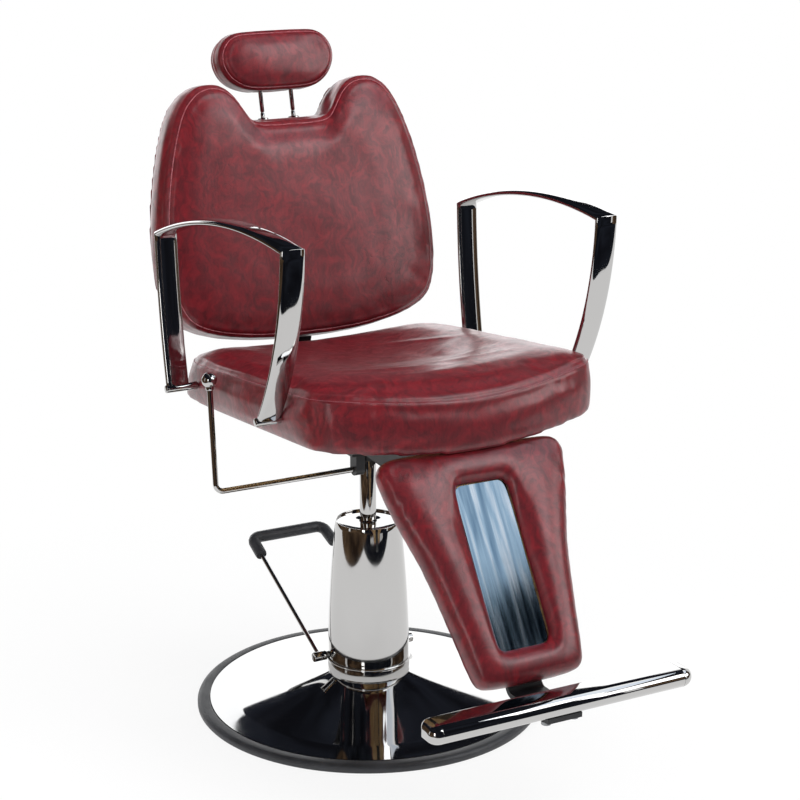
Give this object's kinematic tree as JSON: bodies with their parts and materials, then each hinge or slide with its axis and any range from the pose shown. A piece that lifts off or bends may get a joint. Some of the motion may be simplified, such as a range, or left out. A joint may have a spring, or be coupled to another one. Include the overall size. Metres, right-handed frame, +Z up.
{
  "type": "hydraulic barber chair",
  "caption": "Reclining barber chair on a round pump base, with chrome loop arms, a sliding headrest and a legrest that rises as the back reclines.",
  "frame": {"origin": "centre of the base's underside, on the floor", "axes": "+Z up along the column, the sitter faces -Y, the sitter's left is +X"},
  "size_m": [0.618, 1.0353, 1.1267],
  "materials": {
    "chrome": "polished pressed steel, chrome plated",
    "chrome_tube": "drawn tube, chrome plated, mirror bright",
    "chrome_rod": "round bar, chrome plated, mirror bright",
    "chrome_arm": "flat-oval tube, chrome plated, mirror bright",
    "steel": "machined, zinc plated",
    "black_steel": "black powder coat, semi-gloss",
    "rubber_edge": "moulded, matt",
    "rubber_grip": "moulded, satin",
    "faux_leather": "oxblood coated fabric, mottled, semi-gloss",
    "plywood": "raw birch plywood",
    "polished_insert": "stainless sheet, polished along its length"
  },
  "bodies": {
    "base": {"base_rim": "rubber_edge", "base_plate": "steel", "base_dish": "chrome", "base_collar": "chrome", "column_shroud": "chrome_tube", "pump_body": "steel", "gland_nut": "steel"},
    "pump_lever": {"lever_shaft": "steel", "lever_bail": "chrome_rod", "lever_grip": "rubber_grip", "lever_boss_left": "chrome_rod", "lever_boss_right": "chrome_rod"},
    "lift": {"piston_rod": "chrome_rod"},
    "seat": {"swivel_hub": "black_steel", "seat_carrier": "black_steel", "seat_panel": "plywood", "seat_rail_left": "plywood", "seat_rail_right": "plywood", "seat_crossrail_back": "plywood", "seat_crossrail_front": "plywood", "seat_cushion": "faux_leather", "arm_left": "chrome_arm", "arm_right": "chrome_arm", "arm_stud_front_left": "steel", "arm_stud_front_right": "steel", "arm_stud_back_left": "steel", "arm_stud_back_right": "steel", "back_hinge_pin": "steel", "legrest_hinge_pin": "steel", "lever_bracket": "black_steel"},
    "recline_handle": {"recline_lever": "chrome_rod", "lever_ball": "chrome_rod"},
    "backrest": {"back_cushion": "faux_leather", "back_board": "plywood", "back_panel": "faux_leather", "back_bar": "black_steel", "post_guide_left": "steel", "post_guide_right": "steel", "post_ferrule_left": "chrome_rod", "post_ferrule_right": "chrome_rod"},
    "link": {"link_bar": "black_steel"},
    "headrest": {"headrest_post_left": "chrome_rod", "headrest_post_right": "chrome_rod", "headrest_plate": "steel", "headrest_pad": "faux_leather"},
    "legrest": {"legrest_pad": "faux_leather", "legrest_board": "plywood", "legrest_insert": "polished_insert", "legrest_strut": "black_steel", "footrest_bar": "chrome_arm", "footrest_cap_left": "chrome_arm", "footrest_cap_right": "chrome_arm", "footrest_bolt_left": "steel", "footrest_bolt_right": "steel"}
  },
  "joints": [
    {"name": "pump_stroke", "type": "hinge", "parent": "base", "child": "pump_lever", "pos_m": [0, 0.022, 0.0865], "axis": [-1, 0, 0], "range_deg": [0, 18], "stiffness_Nm_per_rad": 6, "springref_deg": -22.92},
    {"name": "lift_slide", "type": "slide", "parent": "base", "child": "lift", "axis": [0, 0, 1], "range_m": [-0.07, 0.08]},
    {"name": "seat_swivel", "type": "hinge", "parent": "lift", "child": "seat", "pos_m": [0, 0, 0.4405], "axis": [0, 0, 1], "continuous": true},
    {"name": "back_recline", "type": "hinge", "parent": "seat", "child": "backrest", "pos_m": [0, 0.231, 0.4886], "axis": [-1, 0, 0], "range_deg": [0, 48]},
    {"name": "legrest_raise", "type": "hinge", "parent": "seat", "child": "legrest", "pos_m": [0, -0.34587, 0.4672], "axis": [-1, 0, 0], "range_deg": [0, 48]},
    {"name": "link_swing", "type": "hinge", "parent": "backrest", "child": "link", "pos_m": [0, 0.2493, 0.44749], "axis": [-1, 0, 0], "range_deg": [-48, 0]},
    {"name": "headrest_slide", "type": "slide", "parent": "backrest", "child": "headrest", "axis": [0, 0.2086, 0.978], "range_m": [-0.012, 0.06]},
    {"name": "recline_release", "type": "hinge", "parent": "seat", "child": "recline_handle", "pos_m": [0, -0.016, 0.431], "axis": [-1, 0, 0], "range_deg": [0, 15], "stiffness_Nm_per_rad": 1.2, "springref_deg": -17.19}
  ],
  "couplings": [
    {"joint": "legrest_raise", "follows": "back_recline", "ratio": 1},
    {"joint": "link_swing", "follows": "back_recline", "ratio": -1}
  ]
}
